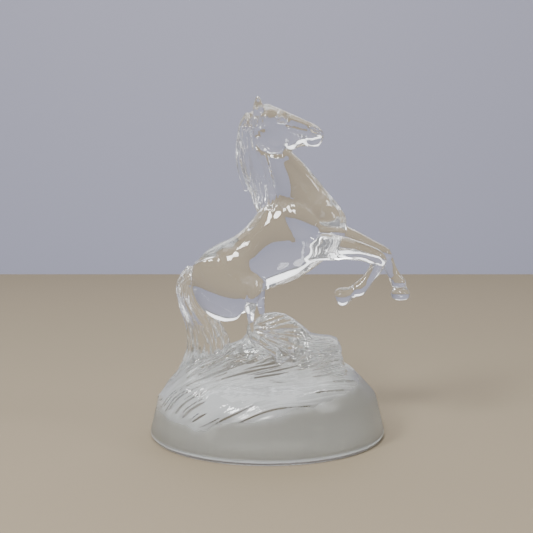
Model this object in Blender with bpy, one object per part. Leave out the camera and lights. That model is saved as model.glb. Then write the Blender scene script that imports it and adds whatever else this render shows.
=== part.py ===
"""Rearing horse on a rocky domed base, cast in one piece of glass.

Units are metres, +Z is up and the horse faces +X. The origin is the middle of the underside.
Every form is a closed shell, and the shells are fused, softened and ground flat below, as one casting.
Stations of the horse are in shares of its own height: one unit is 1/128 of it, and heights are
measured from the ledge that the hooves stand on.
"""

import math

import bmesh
import bpy
from mathutils import Matrix, Vector, noise

# Driving dimensions of the base
BASE_RADIUS = 0.058
DOME_HEIGHT = 0.031
WALL_LEAN = math.radians(13.5)
SHOULDER_RADIUS = 0.015
LIP_HEIGHT = 0.0018
LIP_INSET = 0.0014
LEDGE_RISE = 0.006
LEDGE_HEIGHT = DOME_HEIGHT + LEDGE_RISE

# Driving dimensions of the horse, which the ledge carries
HORSE_HEIGHT = 0.128
UNITS_IN_HEIGHT = 128.0
UNIT = HORSE_HEIGHT / UNITS_IN_HEIGHT

# How the casting is fused and how fine its facets are
FLESH_GRAIN = 0.0009
FLESH_SOFTENING_ROUNDS = 9
FUSE_GRAIN = 0.00065
FUSE_SOFTENING_ROUNDS = 2
FACET_COUNT = 9300
GRIND_DEPTH = 0.003
RING_SIDES = 20
GLASS_COLOUR = (0.9, 0.93, 0.94, 1.0)

# Trunk: back x, back z, belly x, belly z, half width, from the rump to the breast
TRUNK = [
    (-36.0, 43.5, -34.5, 35.5, 3.6),
    (-34.6, 48.0, -31.0, 27.5, 8.2),
    (-31.5, 52.0, -24.5, 22.5, 11.2),
    (-27.5, 55.2, -14.5, 24.0, 12.4),
    (-22.5, 57.8, -7.0, 30.0, 12.4),
    (-17.3, 60.2, -1.5, 34.0, 11.4),
    (-12.9, 63.0, 4.0, 35.8, 11.2),
    (-8.7, 67.5, 10.5, 38.0, 11.8),
    (-5.0, 72.0, 17.5, 41.3, 12.2),
    (-1.5, 77.0, 24.5, 46.2, 11.6),
    (5.0, 81.5, 31.5, 52.3, 10.2),
    (14.0, 82.0, 37.0, 59.0, 8.2),
    (24.0, 79.5, 39.4, 65.0, 5.5),
]

# Neck: crest x, crest z, throat x, throat z, half width, from the chest to the poll
NECK = [
    (-4.5, 70.0, 38.0, 63.0, 10.0),
    (-3.0, 76.0, 38.6, 69.5, 9.6),
    (-0.5, 82.0, 34.8, 76.0, 8.4),
    (-1.0, 88.5, 29.0, 82.8, 7.3),
    (-3.0, 95.0, 24.0, 89.0, 6.5),
    (-5.2, 101.5, 19.0, 94.8, 5.9),
    (-7.4, 108.5, 13.8, 100.0, 5.4),
    (-9.2, 115.0, 8.0, 104.0, 4.9),
    (-9.8, 120.0, 3.0, 109.0, 4.5),
]

# Head: brow x, brow z, jaw x, jaw z, half width, from the poll to the lips
HEAD = [
    (-8.5, 120.4, -6.0, 107.0, 4.0),
    (-3.5, 123.4, -2.4, 102.8, 5.2),
    (1.5, 123.8, 2.5, 101.2, 6.0),
    (6.1, 122.4, 8.0, 101.4, 5.8),
    (10.5, 120.4, 12.5, 102.6, 4.8),
    (15.5, 118.2, 16.2, 104.2, 4.0),
    (19.5, 116.4, 20.2, 104.2, 3.9),
    (23.0, 114.8, 23.8, 104.2, 4.2),
    (25.8, 112.6, 25.8, 105.4, 3.6),
    (27.2, 110.6, 27.0, 107.8, 2.0),
]

# Mane: outer x, outer z, inner x, inner z, half width, from the poll to the withers
MANE = [
    (-9.5, 120.6, -4.5, 119.0, 2.0),
    (-12.6, 114.8, -2.6, 113.0, 3.2),
    (-13.4, 109.0, -1.2, 107.0, 3.9),
    (-13.4, 103.0, 0.4, 101.0, 4.2),
    (-12.4, 95.0, 2.6, 93.5, 4.5),
    (-10.8, 88.0, 4.4, 86.5, 4.6),
    (-8.6, 82.0, 5.2, 80.5, 4.6),
    (-6.6, 76.6, 4.4, 75.6, 4.0),
    (-5.0, 72.6, 1.0, 72.0, 2.4),
]

# Tail: outer x, outer z, inner x, inner z, half width, from the dock to the rock
TAIL = [
    (-35.8, 46.5, -31.0, 40.5, 2.4),
    (-40.0, 43.8, -34.0, 38.0, 3.0),
    (-43.2, 37.0, -34.6, 34.0, 3.4),
    (-43.4, 30.5, -32.6, 28.6, 3.9),
    (-40.8, 23.5, -27.6, 21.8, 4.4),
    (-38.4, 16.8, -23.0, 15.2, 4.8),
    (-37.0, 9.5, -20.4, 8.0, 5.2),
    (-37.6, 3.2, -20.0, 1.5, 5.6),
    (-40.2, -2.6, -22.0, -4.5, 6.0),
    (-43.0, -8.5, -26.0, -10.0, 6.2),
]

# Limbs: x, y, z, half depth, half width. The near side of the horse is at -Y.
NEAR_FOREARM = [
    (15.0, -6.0, 57.0, 8.0, 4.6),
    (22.0, -8.0, 56.4, 6.9, 5.0),
    (30.0, -9.0, 56.0, 6.2, 4.8),
    (38.0, -9.2, 55.4, 5.4, 4.5),
    (45.5, -9.2, 53.8, 4.4, 4.1),
    (52.3, -9.0, 51.2, 4.0, 3.9),
    (54.8, -9.0, 48.4, 3.2, 3.2),
]
NEAR_CANNON = [
    (54.2, -9.0, 51.2, 3.6, 3.6),
    (52.6, -9.0, 46.8, 3.3, 3.2),
    (50.0, -9.0, 42.6, 2.9, 2.8),
    (47.0, -9.0, 38.8, 3.0, 2.9),
    (44.0, -9.0, 35.8, 3.6, 3.4),
    (41.4, -9.0, 34.6, 2.8, 2.8),
    (39.4, -9.0, 33.7, 3.4, 3.3),
    (37.0, -9.0, 32.6, 4.3, 4.1),
    (35.0, -9.0, 31.6, 4.4, 4.2),
    (33.7, -9.0, 31.0, 3.2, 3.0),
    (33.2, -9.0, 30.8, 1.4, 1.3),
]
FAR_FOREARM = [
    (18.0, 5.0, 62.0, 8.0, 4.6),
    (26.0, 7.4, 61.4, 6.8, 5.0),
    (34.0, 8.2, 60.4, 6.0, 4.8),
    (42.0, 8.4, 58.2, 5.2, 4.5),
    (50.0, 8.3, 54.8, 4.3, 4.0),
    (57.2, 8.1, 51.4, 3.9, 3.8),
    (59.8, 8.0, 48.6, 3.2, 3.2),
]
FAR_CANNON = [
    (57.6, 8.0, 52.6, 3.4, 3.5),
    (59.6, 8.0, 48.0, 3.3, 3.2),
    (61.6, 8.0, 43.6, 2.9, 2.8),
    (63.8, 8.0, 39.6, 3.1, 3.0),
    (65.6, 8.0, 36.4, 3.7, 3.5),
    (66.0, 8.0, 34.8, 3.2, 3.1),
    (66.2, 8.0, 33.2, 4.0, 3.8),
    (66.4, 8.0, 31.4, 4.7, 4.5),
    (66.5, 8.0, 29.8, 4.6, 4.4),
    (66.5, 8.0, 28.6, 3.4, 3.2),
    (66.5, 8.0, 28.2, 1.5, 1.4),
]
NEAR_THIGH = [
    (-28.0, -4.5, 49.5, 8.6, 5.6),
    (-25.8, -6.4, 42.0, 11.8, 6.2),
    (-22.4, -7.8, 34.5, 12.8, 6.4),
    (-18.0, -8.5, 28.8, 10.8, 6.0),
    (-14.6, -8.8, 25.8, 7.4, 4.8),
    (-12.4, -8.8, 24.2, 3.8, 2.8),
]
NEAR_GASKIN = [
    (-10.5, -6.6, 41.0, 7.5, 5.0),
    (-8.4, -8.2, 35.0, 6.0, 5.0),
    (-8.4, -8.8, 29.0, 3.7, 4.2),
    (-8.1, -8.8, 23.5, 1.9, 2.6),
    (-8.0, -8.8, 19.8, 1.4, 1.9),
    (-8.2, -8.8, 16.6, 1.7, 1.9),
    (-8.3, -8.8, 14.4, 1.8, 1.9),
]
NEAR_HIND_CANNON = [
    (-9.0, -8.8, 15.4, 1.7, 1.8),
    (-7.2, -8.8, 13.0, 2.1, 2.2),
    (-3.9, -8.8, 10.6, 2.3, 2.3),
    (-0.2, -8.9, 8.3, 2.2, 2.2),
    (2.8, -9.0, 6.5, 2.6, 2.6),
    (4.6, -9.0, 5.1, 2.4, 2.4),
    (6.1, -9.0, 3.7, 3.0, 2.9),
    (7.1, -9.0, 2.4, 3.5, 3.3),
    (7.9, -9.0, 1.4, 3.4, 3.2),
    (8.3, -9.0, 0.9, 2.3, 2.2),
]
FAR_LEG_STEP = 5.2
FAR_LEG_RISE = 1.4
FAR_LEG_TOP = 46.0
FAR_LEG_LOW = 20.0

EAR_ROOT = Vector((-4.2, -3.2, 119.5))
EAR_TIP = Vector((-4.6, -3.9, 128.2))
EAR_STATIONS = [(0.0, 2.4, 1.7), (0.3, 2.6, 1.6), (0.6, 2.1, 1.3), (0.85, 1.2, 0.9), (1.0, 0.5, 0.5)]

# Muscles and features: centre, radii, turn about Y in degrees. Each has a twin on the far side.
BODY_FORMS = [
    ((16.5, -6.2, 66.0), (13.0, 5.8, 8.6), 52.0),
    ((27.5, -4.6, 68.0), (7.5, 4.8, 9.0), -25.0),
]
FACE_FORMS = [
    ((1.6, -3.6, 108.4), (7.4, 2.9, 6.6), 14.0),
    ((6.4, -4.5, 117.0), (2.9, 1.7, 1.7), 18.0),
    ((23.0, -3.0, 111.6), (2.9, 1.9, 2.1), 30.0),
    ((22.0, -1.6, 105.6), (3.4, 1.8, 1.5), 6.0),
]
FORELOCK = ((0.4, 0.0, 123.0), (3.0, 2.2, 1.5), 10.0)

# Locks of hair, which stand proud of the core of the mane and the tail
MANE_LOCKS = 5
TAIL_LOCKS = 5
LOCK_STAND = 1.08
MANE_LOCK_THICKNESS = 1.6
MANE_LOCK_TIP = 0.4
TAIL_LOCK_THICKNESS = 1.2
TAIL_LOCK_SPREAD = 0.8

# Rock: x along the horse and height of its crest over the ledge
CREST = [
    (-58.0, -14.0), (-50.0, -9.6), (-44.0, -6.6), (-37.0, -1.6), (-30.0, 1.2), (-24.0, 4.0), (-18.0, 7.2),
    (-12.5, 9.6), (-8.5, 14.5), (-5.5, 19.6), (-1.5, 22.6), (4.0, 23.2), (8.5, 22.4), (12.5, 20.2),
    (17.5, 16.3), (21.5, 12.6), (26.0, 11.8), (31.0, 11.4), (34.5, 10.2), (36.2, 7.0), (37.0, 0.6),
    (38.6, -4.4), (43.0, -6.2), (58.0, -14.0),
]
WALL_THICKNESS = 6.3
BLOCK_SWELL = 6.5
TAIL_SWELL = 6.0
LEDGE_REACH = (8.0, 29.0)

# Carved streaks: how they run over the dome, where they fan out from, and what is left plain below them
STREAK_RISE = 0.36
STREAK_FALL = 0.42
STREAK_BEND_AHEAD = 0.004
STREAK_BEND_BEHIND = 0.008
STREAK_WARP = 3.4
FAN_X = -13.0
FAN_HEIGHT = 52.0
FAN_STREAKS = 22.0
PLAIN_HEIGHT = 19.0
PLAIN_RISE = 0.2
STREAK_DEPTH = 1.3
STREAK_SINK = 0.6
WALL_CALM = 0.65


def placed(x, y, z):
    """A station of the horse in metres above the table."""
    return Vector((x * UNIT, y * UNIT, LEDGE_HEIGHT + z * UNIT))


def smooth_step(low, high, value):
    """0 at low, 1 at high, and eased between them; low may be the larger number."""
    t = min(max((value - low) / (high - low), 0.0), 1.0)
    return t * t * (3 - 2 * t)


def eased(stations, steps):
    """Stations joined by a smooth curve through them, as many numbers wide as they are."""
    ends = [stations[0], *stations, stations[-1]]
    found = []
    for before, start, stop, after in zip(ends, ends[1:], ends[2:], ends[3:]):
        for step in range(steps):
            t = step / steps
            found.append(tuple(
                0.5 * (2 * b + (c - a) * t + (2 * a - 5 * b + 4 * c - d) * t * t
                       + (3 * b - a - 3 * c + d) * t ** 3)
                for a, b, c, d in zip(before, start, stop, after)
            ))
    found.append(tuple(stations[-1]))
    return found


def add_ring(mesh, centre, out, up):
    """One oval section: out and up are its half axes."""
    turns = (2 * math.pi * i / RING_SIDES for i in range(RING_SIDES))
    return [mesh.verts.new(centre + out * math.cos(a) + up * math.sin(a)) for a in turns]


def skin(mesh, rings):
    """A closed shell over a row of sections."""
    for low, high in zip(rings, rings[1:]):
        for i in range(RING_SIDES):
            j = (i + 1) % RING_SIDES
            mesh.faces.new((low[i], low[j], high[j], high[i]))
    mesh.faces.new(reversed(rings[0]))
    mesh.faces.new(rings[-1])


def add_flank_loft(mesh, stations, steps=4):
    """A form on the horse's middle plane, from pairs of outline points and half widths."""
    rings = []
    for x1, z1, x2, z2, half in eased(stations, steps):
        top, bottom = placed(x1, 0, z1), placed(x2, 0, z2)
        rings.append(add_ring(mesh, (top + bottom) / 2, Vector((0, half * UNIT, 0)), (top - bottom) / 2))
    skin(mesh, rings)


def add_limb(mesh, stations, steps=4):
    """A limb or a lock: sections square to its run."""
    route = eased(stations, steps)
    points = [placed(*s[:3]) for s in route]
    rings = []
    for i, station in enumerate(route):
        along = (points[min(i + 1, len(points) - 1)] - points[max(i - 1, 0)]).normalized()
        side = (Vector((0, 1, 0)) - along * along.y).normalized()
        depth = side.cross(along)
        rings.append(add_ring(mesh, points[i], side * station[4] * UNIT, depth * station[3] * UNIT))
    skin(mesh, rings)


def add_form(mesh, centre, radii, turn):
    """An oval muscle or feature, turned in the horse's middle plane."""
    spot = Matrix.Translation(placed(*centre)) @ Matrix.Rotation(math.radians(turn), 4, "Y")
    size = Matrix.Diagonal((*(r * UNIT for r in radii), 1))
    bmesh.ops.create_uvsphere(mesh, u_segments=24, v_segments=14, radius=1, matrix=spot @ size)


def far_hind(stations):
    """The far hind leg stands a step ahead of the near one, from the same hip."""
    found = []
    for x, y, z, depth, half in stations:
        share = smooth_step(FAR_LEG_TOP, FAR_LEG_LOW, z)
        found.append((x + FAR_LEG_STEP * share, -y, z + FAR_LEG_RISE * share, depth, half))
    return found


def add_ear(mesh, side):
    run = EAR_TIP - EAR_ROOT
    stations = []
    for share, depth, half in EAR_STATIONS:
        x, y, z = EAR_ROOT + run * share
        stations.append((x, y * side, z, depth, half))
    add_limb(mesh, stations, steps=3)


def lock_spot(table, t, across, side):
    """Place on the skin of the mane or the tail: t runs from its root to its end."""
    route = eased(table, 8)
    x1, z1, x2, z2, half = route[round(min(max(t, 0.0), 1.0) * (len(route) - 1))]
    bulge = math.sin(math.pi * min(max(across, 0.0), 0.5))
    return x1 + (x2 - x1) * across, side * half * bulge, z1 + (z2 - z1) * across


def add_mane_locks(mesh):
    """Long locks down both sides of the mane, whose outer ends stand clear of its edge."""
    for i in range(MANE_LOCKS):
        start = 0.02 + 0.05 * (i % 3)
        end = 0.74 + 0.05 * i
        for side in (-1, 1):
            stations = []
            for j in range(8):
                share = j / 7
                t = start + (end - start) * share
                across = 0.98 * (i + 0.35) / MANE_LOCKS - 0.16 * share ** 2
                across += 0.03 * math.sin(7 * t + 2.4 * i + side)
                thick = MANE_LOCK_THICKNESS * math.sin(math.pi * (0.14 + 0.8 * share)) + MANE_LOCK_TIP
                stations.append((*lock_spot(MANE, t, across, side * LOCK_STAND), thick, thick * 0.9))
            add_limb(mesh, stations, steps=3)


def add_tail_locks(mesh):
    """Locks that fan from the dock to the rock over the outside of the tail."""
    for i in range(TAIL_LOCKS):
        for side in (-1, 1):
            stations = []
            for j in range(9):
                share = j / 8
                t = 0.05 + 0.93 * share
                across = i / (TAIL_LOCKS - 1) + 0.04 * math.sin(5 * t + 2.1 * i + side)
                thick = TAIL_LOCK_THICKNESS + TAIL_LOCK_SPREAD * share
                x, y, z = lock_spot(TAIL, t, across, side * LOCK_STAND)
                y *= 1 - max(across - 0.5, 0.0) * 1.5
                stations.append((x, y, z, thick, thick * 0.8))
            add_limb(mesh, stations, steps=3)


def crest_height(x):
    """Height of the rock's crest over the ledge, eased between its stations."""
    for (x1, z1), (x2, z2) in zip(CREST, CREST[1:]):
        if x <= x2:
            return z1 + (z2 - z1) * min(max((x - x1) / (x2 - x1), 0.0), 1.0)
    return CREST[-1][1]


def rock_height(x, y):
    """Height over the ledge of the rock at a place in units: a sloping ledge and a wall along its crest."""
    crest = crest_height(x)
    away = abs(y)
    ledge = min(crest, 0.0)
    foot = -LEDGE_RISE / UNIT
    slope = foot + (ledge - foot) * (1 - smooth_step(*LEDGE_REACH, away))
    thick = WALL_THICKNESS + BLOCK_SWELL * smooth_step(12.0, 22.0, x)
    thick += TAIL_SWELL * smooth_step(-10.0, -20.0, x)
    wall = math.exp(-((away / thick) ** 3.2))
    return slope + max(crest - ledge, 0.0) * wall


def strata(x, y, z):
    """How far the carved skin lies from the plain one, in shares of the streaks' depth.

    The place is in units above the table. The streaks sweep down and to the rear over the dome,
    and fan out from the hocks over the wall, where they are shallower and leave the crest round.
    """
    warp = noise.noise(Vector((x * 0.04, y * 0.07, z * 0.07))) * STREAK_WARP
    sweep = STREAK_RISE * x - STREAK_BEND_AHEAD * max(x, 0.0) ** 2
    sweep -= STREAK_BEND_BEHIND * min(x + 15.0, 0.0) ** 2
    level = z - STREAK_FALL * abs(y) - sweep + warp
    fan = FAN_STREAKS * math.atan2(z - FAN_HEIGHT, max(x - FAN_X, 1.0)) + 0.6 * warp
    on_wall = smooth_step(40.5, 45.0, z) * smooth_step(-13.0, -7.0, x)
    wave = (1 - on_wall) * math.sin(level) + on_wall * math.sin(fan)
    sharp = math.copysign(abs(wave) ** 0.8, wave)
    return (sharp - STREAK_SINK) * (1 - WALL_CALM * on_wall)


def carved_floor(x):
    """Height above the table, in units, down to which the wall of the dome is carved."""
    return PLAIN_HEIGHT + PLAIN_RISE * max(x, -30.0) + 0.15 * max(-30.0 - x, 0.0)


def dome_profile():
    """Points (r, z) of the plain dome from its middle to its foot, in metres."""
    lean = math.tan(WALL_LEAN)
    low = LIP_HEIGHT
    turn_z = DOME_HEIGHT - SHOULDER_RADIUS * (1 - math.sin(WALL_LEAN))
    turn_r = BASE_RADIUS - (turn_z - low) * lean
    middle = turn_r - SHOULDER_RADIUS * math.cos(WALL_LEAN)
    flat = [(middle * i / 32, DOME_HEIGHT) for i in range(1, 32)]
    arc = []
    for i in range(15):
        a = math.pi / 2 - (math.pi / 2 - WALL_LEAN) * i / 14
        sink = SHOULDER_RADIUS * (1 - math.sin(a))
        arc.append((middle + SHOULDER_RADIUS * math.cos(a), DOME_HEIGHT - sink))
    wall = []
    for i in range(1, 13):
        wall.append((turn_r + (BASE_RADIUS - turn_r) * i / 12, turn_z + (low - turn_z) * i / 12))
    foot = [(BASE_RADIUS - LIP_INSET, 0.0), (BASE_RADIUS - LIP_INSET, -GRIND_DEPTH)]
    return flat + arc + wall + foot


def base_point(r, z, angle):
    """A point of the base: the plain dome, raised to the rock, then carved along its streaks."""
    x, y = r * math.cos(angle), r * math.sin(angle)
    across = smooth_step(DOME_HEIGHT - SHOULDER_RADIUS * 0.9, DOME_HEIGHT, z)
    drop = DOME_HEIGHT - z
    rise = (rock_height(x / UNIT, y / UNIT) * UNIT + LEDGE_RISE) * across
    top = DOME_HEIGHT + rise - drop
    place = (x / UNIT, y / UNIT, top / UNIT)
    reach = smooth_step(0.0, 5.0, place[2] - carved_floor(place[0]))
    deep = strata(*place) * reach * STREAK_DEPTH * UNIT
    steep = smooth_step(0.3, 1.0, drop / SHOULDER_RADIUS)
    return Vector((x * (1 + deep * steep / r), y * (1 + deep * steep / r), top + deep * (1 - steep)))


def add_base(mesh, spokes=120):
    """The dome and its rock, as one turned shell whose surface is raised and carved."""
    rows = []
    for r, z in dome_profile():
        turns = (2 * math.pi * k / spokes for k in range(spokes))
        rows.append([mesh.verts.new(base_point(r, z, a)) for a in turns])
    top = mesh.verts.new(base_point(1e-6, DOME_HEIGHT, 0.0))
    foot = mesh.verts.new((0, 0, -GRIND_DEPTH))
    for k in range(spokes):
        j = (k + 1) % spokes
        mesh.faces.new((top, rows[0][k], rows[0][j]))
        mesh.faces.new((foot, rows[-1][j], rows[-1][k]))
        for inner, outer in zip(rows, rows[1:]):
            mesh.faces.new((inner[k], outer[k], outer[j], inner[j]))


def glass():
    material = bpy.data.materials.new("crystal")
    material.use_nodes = True
    shader = material.node_tree.nodes["Principled BSDF"]
    shader.inputs["Base Color"].default_value = GLASS_COLOUR
    shader.inputs["Roughness"].default_value = 0.05
    shader.inputs["Metallic"].default_value = 0.0
    shader.inputs["Transmission Weight"].default_value = 1.0
    shader.inputs["IOR"].default_value = 1.52
    return material


def add_flesh(mesh):
    """The body, whose forms run softly into one another."""
    for stations in (TRUNK, NECK, HEAD):
        add_flank_loft(mesh, stations)
    for stations in (NEAR_THIGH, NEAR_GASKIN):
        add_limb(mesh, stations)
        add_limb(mesh, far_hind(stations))
    for stations in (NEAR_FOREARM, FAR_FOREARM):
        add_limb(mesh, stations)
    for centre, radii, turn in BODY_FORMS + FACE_FORMS:
        add_form(mesh, centre, radii, turn)
        add_form(mesh, (centre[0], -centre[1], centre[2]), radii, turn)


def add_fine_forms(mesh):
    """The parts that keep their full thickness and their edges."""
    for stations in (NEAR_FOREARM[2:], NEAR_CANNON, FAR_FOREARM[2:], FAR_CANNON):
        add_limb(mesh, stations)
    for stations in (NEAR_GASKIN[3:], NEAR_HIND_CANNON):
        add_limb(mesh, stations)
        add_limb(mesh, far_hind(stations))
    for stations in (HEAD, MANE, TAIL):
        add_flank_loft(mesh, stations)
    for centre, radii, turn in FACE_FORMS:
        add_form(mesh, centre, radii, turn)
        add_form(mesh, (centre[0], -centre[1], centre[2]), radii, turn)
    for side in (1, -1):
        add_ear(mesh, side)
    add_form(mesh, *FORELOCK)
    add_mane_locks(mesh)
    add_tail_locks(mesh)
    add_base(mesh)


def fused(name, mesh, grain, softening):
    """An object whose overlapping shells are fused to one skin and softened."""
    bmesh.ops.recalc_face_normals(mesh, faces=mesh.faces)
    data = bpy.data.meshes.new(name)
    mesh.to_mesh(data)
    mesh.free()
    thing = bpy.data.objects.new(name, data)
    bpy.context.scene.collection.objects.link(thing)
    fuse = thing.modifiers.new("fuse", "REMESH")
    fuse.mode = "VOXEL"
    fuse.voxel_size = grain
    fuse.use_smooth_shade = True
    soften = thing.modifiers.new("soften", "SMOOTH")
    soften.factor = 0.5
    soften.iterations = softening
    return thing


def skin_of(thing):
    """The skin of an object with its modifiers."""
    graph = bpy.context.evaluated_depsgraph_get()
    return bpy.data.meshes.new_from_object(thing.evaluated_get(graph))


def main():
    for old in list(bpy.data.objects):
        bpy.data.objects.remove(old, do_unlink=True)
    flesh = bmesh.new()
    add_flesh(flesh)
    body = fused("flesh", flesh, FLESH_GRAIN, FLESH_SOFTENING_ROUNDS)

    whole = bmesh.new()
    whole.from_mesh(skin_of(body))
    bpy.data.objects.remove(body, do_unlink=True)
    add_fine_forms(whole)
    figurine = fused("crystal_horse", whole, FUSE_GRAIN, FUSE_SOFTENING_ROUNDS)
    figurine.data.materials.append(glass())
    facets = figurine.modifiers.new("facets", "DECIMATE")
    facets.ratio = FACET_COUNT / (2 * len(skin_of(figurine).polygons))

    bpy.ops.mesh.primitive_cube_add(size=1)
    wheel = bpy.context.object
    wheel.name = "grinding_wheel"
    reach = 4 * BASE_RADIUS
    wheel.scale = (reach, reach, 4 * GRIND_DEPTH)
    wheel.location = (0, 0, -2 * GRIND_DEPTH)
    wheel.hide_render = True
    wheel.display_type = "WIRE"
    grind = figurine.modifiers.new("grind_flat", "BOOLEAN")
    grind.operation = "DIFFERENCE"
    grind.object = wheel


main()
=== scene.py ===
"""The crystal horse in its finish: clear cut glass above, satin-frosted glass below.

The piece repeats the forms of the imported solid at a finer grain, and adds the relief that is too fine for it:
strands of hair, fine streaks in the rock, tendons, the horse's face and the polished lip of the base.
Metres, +Z up, the horse faces +X. Stations of the horse are in units of 1/128 of its own height over the
ledge that it stands on.
"""

import math

import bmesh
import bpy
import numpy as np
from mathutils import Matrix, Vector, noise


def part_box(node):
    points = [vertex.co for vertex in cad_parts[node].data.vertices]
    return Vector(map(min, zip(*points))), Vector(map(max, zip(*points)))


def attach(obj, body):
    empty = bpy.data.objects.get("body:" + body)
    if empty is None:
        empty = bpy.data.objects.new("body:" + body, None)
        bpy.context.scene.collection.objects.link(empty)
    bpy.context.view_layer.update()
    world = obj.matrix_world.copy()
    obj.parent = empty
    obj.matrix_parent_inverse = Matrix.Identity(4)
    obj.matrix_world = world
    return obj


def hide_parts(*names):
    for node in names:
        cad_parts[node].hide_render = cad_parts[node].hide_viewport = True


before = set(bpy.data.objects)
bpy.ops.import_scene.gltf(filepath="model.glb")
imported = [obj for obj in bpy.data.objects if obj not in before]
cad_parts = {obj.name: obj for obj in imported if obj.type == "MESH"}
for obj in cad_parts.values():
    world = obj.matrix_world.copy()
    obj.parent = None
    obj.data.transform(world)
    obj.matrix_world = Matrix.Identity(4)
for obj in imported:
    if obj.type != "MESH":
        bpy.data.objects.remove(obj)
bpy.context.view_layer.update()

# The base and the horse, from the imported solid's own box
BASE_RADIUS = (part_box("crystal_horse")[1][1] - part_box("crystal_horse")[0][1]) / 2
FIGURE_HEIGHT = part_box("crystal_horse")[1][2]
DOME_HEIGHT = 0.031
WALL_LEAN = math.radians(13.5)
SHOULDER_RADIUS = 0.015
LIP_HEIGHT = 0.0018
LIP_INSET = 0.0014
LEDGE_RISE = 0.006
LEDGE_HEIGHT = DOME_HEIGHT + LEDGE_RISE
UNITS_IN_HEIGHT = 128.0
UNIT = (FIGURE_HEIGHT - LEDGE_HEIGHT) / UNITS_IN_HEIGHT

# Grain of the mesh
FLESH_GRAIN = 0.0006
FLESH_SOFTENING = 14
FUSE_GRAIN = 0.00042
FUSE_SOFTENING = 1
FACET_COUNT = 190000
GRIND_DEPTH = 0.003
RING_SIDES = 28
STATION_STEPS = 4
LOCK_STEPS = 3
HAIR_STEPS = 8
FORM_SEGMENTS = 24
FORM_RINGS = 14
BASE_SPOKES = 240
TOP_RINGS = 96
SHOULDER_RINGS = 30
WALL_RINGS = 12
SHARP_EDGE = math.radians(50)

# Evening out of the skin: rounds on all of it, on the plain wall, over the relief and on the rock
SKIN_ROUNDS = 24
WALL_ROUNDS = 80
RELIEF_ROUNDS = 4
ROCK_ROUNDS = 14
RELIEF_PULL = 0.8
HAIR_HOLD = 0.55
PULL_IN = 0.5
PULL_OUT = -0.52

# Finish: how far the far side is worked, the top of the base's glass, and the groove over the lip in units
FAR_SIDE_RELIEF = 0.4
FAR_SIDE_START = (-2.0, 3.0)
BASE_GLASS_TOP = 0.035
LIP_GROOVE = 2.9
LIP_GROOVE_WIDTH = 0.55
LIP_GROOVE_DEPTH = 0.3

# Trunk: back x, back z, belly x, belly z, half width, from the rump to the breast
TRUNK = [
    (-36.0, 43.5, -34.5, 35.5, 3.6),
    (-34.6, 48.0, -31.0, 27.5, 8.2),
    (-31.5, 52.0, -24.5, 22.5, 11.2),
    (-27.5, 55.2, -14.5, 24.0, 12.4),
    (-22.5, 57.8, -7.0, 30.0, 12.4),
    (-17.3, 60.2, -1.5, 34.0, 11.4),
    (-12.9, 63.0, 4.0, 35.8, 11.2),
    (-8.7, 67.5, 10.5, 38.0, 11.8),
    (-5.0, 72.0, 17.5, 41.3, 12.2),
    (-1.5, 77.0, 24.5, 46.2, 11.6),
    (5.0, 81.5, 31.5, 52.3, 10.2),
    (14.0, 82.0, 37.0, 59.0, 8.2),
    (24.0, 79.5, 39.4, 65.0, 5.5),
]

# Neck: crest x, crest z, throat x, throat z, half width, from the chest to the poll
NECK = [
    (-4.5, 70.0, 38.0, 63.0, 10.0),
    (-3.0, 76.0, 38.6, 69.5, 9.6),
    (-0.5, 82.0, 34.8, 76.0, 8.4),
    (-1.0, 88.5, 29.0, 82.8, 7.3),
    (-3.0, 95.0, 24.0, 89.0, 6.5),
    (-5.2, 101.5, 19.0, 94.8, 5.9),
    (-7.4, 108.5, 13.8, 100.0, 5.4),
    (-9.2, 115.0, 8.0, 104.0, 4.9),
    (-9.8, 120.0, 3.0, 109.0, 4.5),
]

# Head: brow x, brow z, jaw x, jaw z, half width, from the poll to the lips
HEAD = [
    (-8.5, 120.4, -6.0, 107.0, 4.0),
    (-3.5, 123.4, -2.4, 102.8, 5.2),
    (1.5, 123.8, 2.5, 101.2, 6.0),
    (6.1, 122.4, 8.0, 101.4, 5.8),
    (10.5, 120.4, 12.5, 102.6, 4.8),
    (15.5, 118.2, 16.2, 104.2, 4.0),
    (19.5, 116.4, 20.2, 104.2, 3.9),
    (23.0, 114.8, 23.8, 104.2, 4.2),
    (25.8, 112.6, 25.8, 105.4, 3.6),
    (27.2, 110.6, 27.0, 107.8, 2.0),
]

# Mane: outer x, outer z, inner x, inner z, half width, from the poll to the withers
MANE = [
    (-9.5, 120.6, -4.5, 119.0, 2.0),
    (-12.6, 114.8, -2.6, 113.0, 3.2),
    (-13.4, 109.0, -1.2, 107.0, 3.9),
    (-13.4, 103.0, 0.4, 101.0, 4.2),
    (-12.4, 95.0, 2.6, 93.5, 4.5),
    (-10.8, 88.0, 4.4, 86.5, 4.6),
    (-8.6, 82.0, 5.2, 80.5, 4.6),
    (-6.6, 76.6, 4.4, 75.6, 4.0),
    (-5.0, 72.6, 1.0, 72.0, 2.4),
]

# Tail: outer x, outer z, inner x, inner z, half width, from the dock to the rock
TAIL = [
    (-35.8, 46.5, -31.0, 40.5, 2.4),
    (-40.0, 43.8, -34.0, 38.0, 3.0),
    (-43.2, 37.0, -34.6, 34.0, 3.4),
    (-43.4, 30.5, -32.6, 28.6, 3.9),
    (-40.8, 23.5, -27.6, 21.8, 4.4),
    (-38.4, 16.8, -23.0, 15.2, 4.8),
    (-37.0, 9.5, -20.4, 8.0, 5.2),
    (-37.6, 3.2, -20.0, 1.5, 5.6),
    (-40.2, -2.6, -22.0, -4.5, 6.0),
    (-43.0, -8.5, -26.0, -10.0, 6.2),
]

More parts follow.
